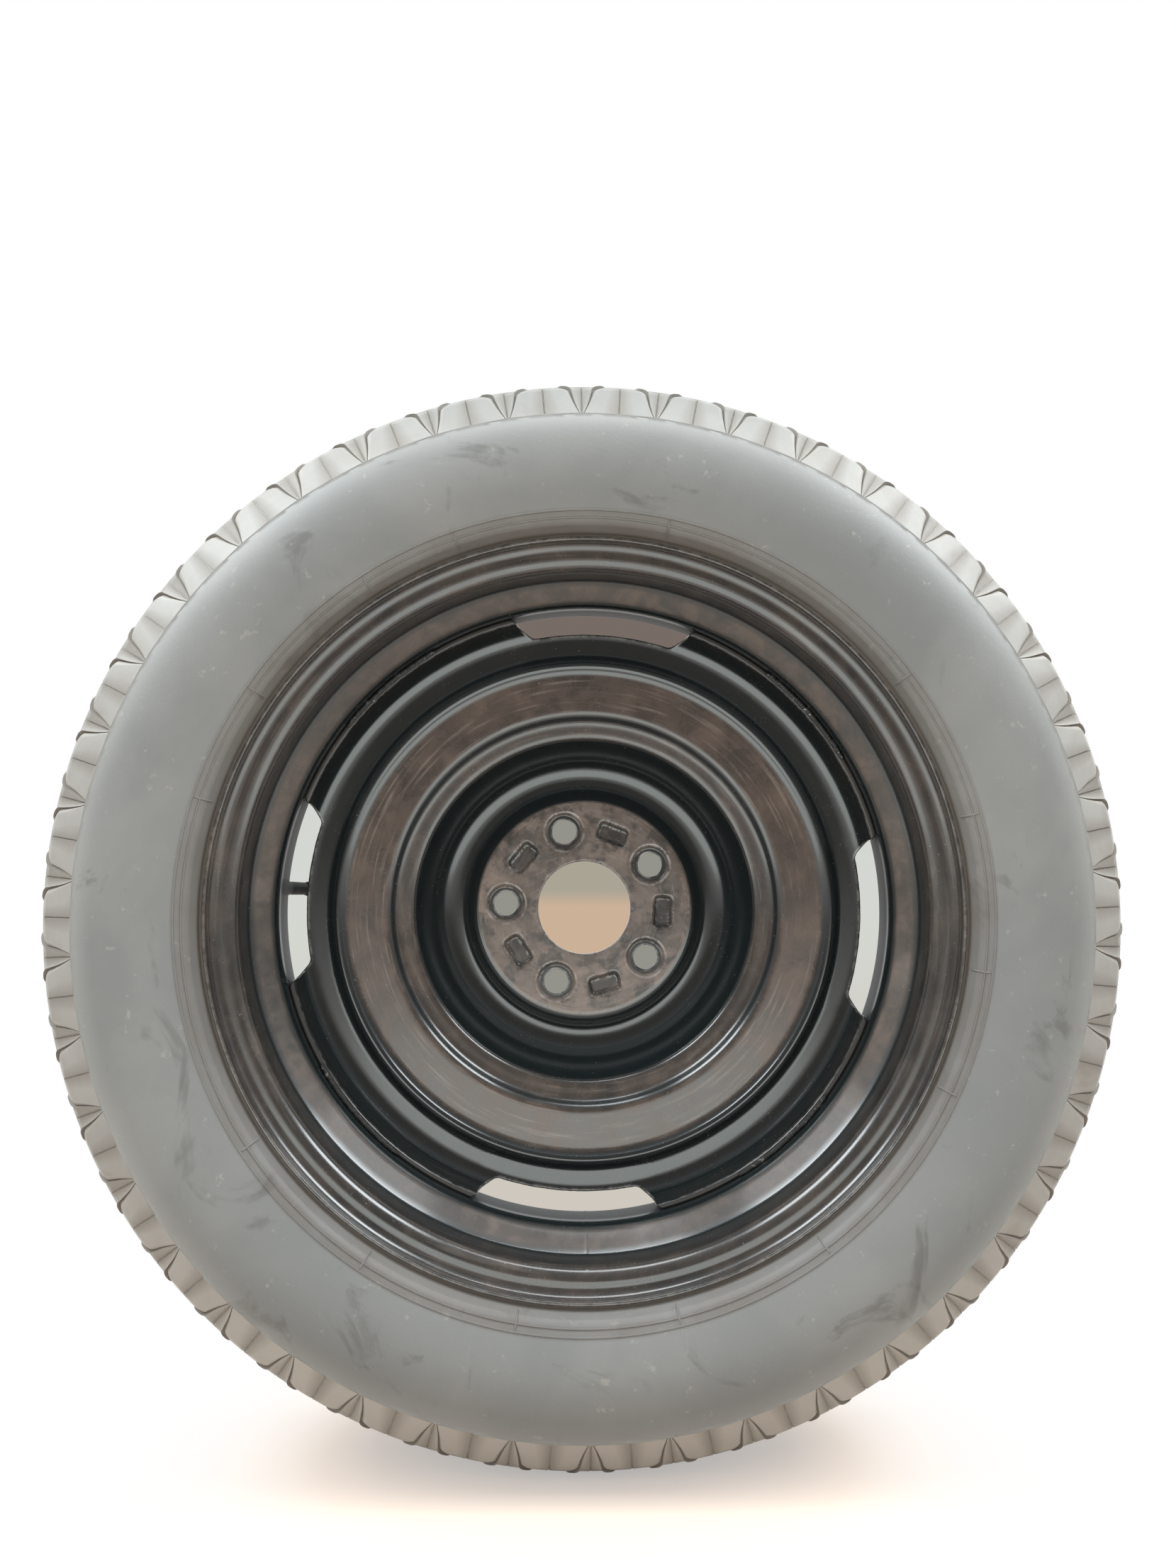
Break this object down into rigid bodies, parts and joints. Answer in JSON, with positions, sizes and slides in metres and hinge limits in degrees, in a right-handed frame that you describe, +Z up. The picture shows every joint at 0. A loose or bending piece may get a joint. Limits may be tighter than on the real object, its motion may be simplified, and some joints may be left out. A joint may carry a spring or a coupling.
{
  "type": "spare wheel",
  "caption": "Upright compact spare wheel: black pressed-steel wheel with a dished vented disc, raised hub pad and snap-in valve, and a narrow round-shouldered tyre.",
  "frame": {"origin": "the wheel's centre: on the axis, midway between the rim's flanges", "axes": "+Y along the wheel's axis towards the outboard side, +Z up, +X to the right as seen from the inboard side"},
  "size_m": [0.736, 0.155, 0.736],
  "materials": {
    "tyre_rubber": "matte, dusty on the tread shoulder",
    "black_paint": "semi-gloss black, dusty and scuffed",
    "painted_weld": "rough bead under thin black paint",
    "valve_rubber": "matte",
    "valve_brass": "plain turned",
    "seal_rubber": "matte",
    "spring_steel": "drawn wire",
    "cap_plastic": "moulded, matte"
  },
  "bodies": {
    "wheel": {"tyre": "tyre_rubber", "rim": "black_paint", "wheel_disc": "black_paint", "weld_bead_1": "painted_weld", "weld_bead_2": "painted_weld", "weld_bead_3": "painted_weld", "weld_bead_4": "painted_weld", "valve_body": "valve_rubber", "valve_stem": "valve_brass", "valve_core_body": "valve_brass", "valve_core_gasket": "seal_rubber", "valve_spring": "spring_steel"},
    "pin": {"valve_pin": "valve_brass", "valve_cup": "seal_rubber"},
    "cap": {"valve_cap": "cap_plastic", "valve_cap_seal": "seal_rubber"}
  },
  "joints": [
    {"name": "valve_pin_press", "type": "slide", "parent": "wheel", "child": "pin", "axis": [-0.6512, -0.7576, 0.0433], "range_m": [0, 0.0015], "stiffness_N_per_m": 400, "springref_m": -0.002, "deforming": ["valve_spring"]},
    {"name": "valve_cap_off", "type": "slide", "parent": "wheel", "child": "cap", "axis": [0.6512, 0.7576, -0.0433], "range_m": [0, 0.012]}
  ]
}
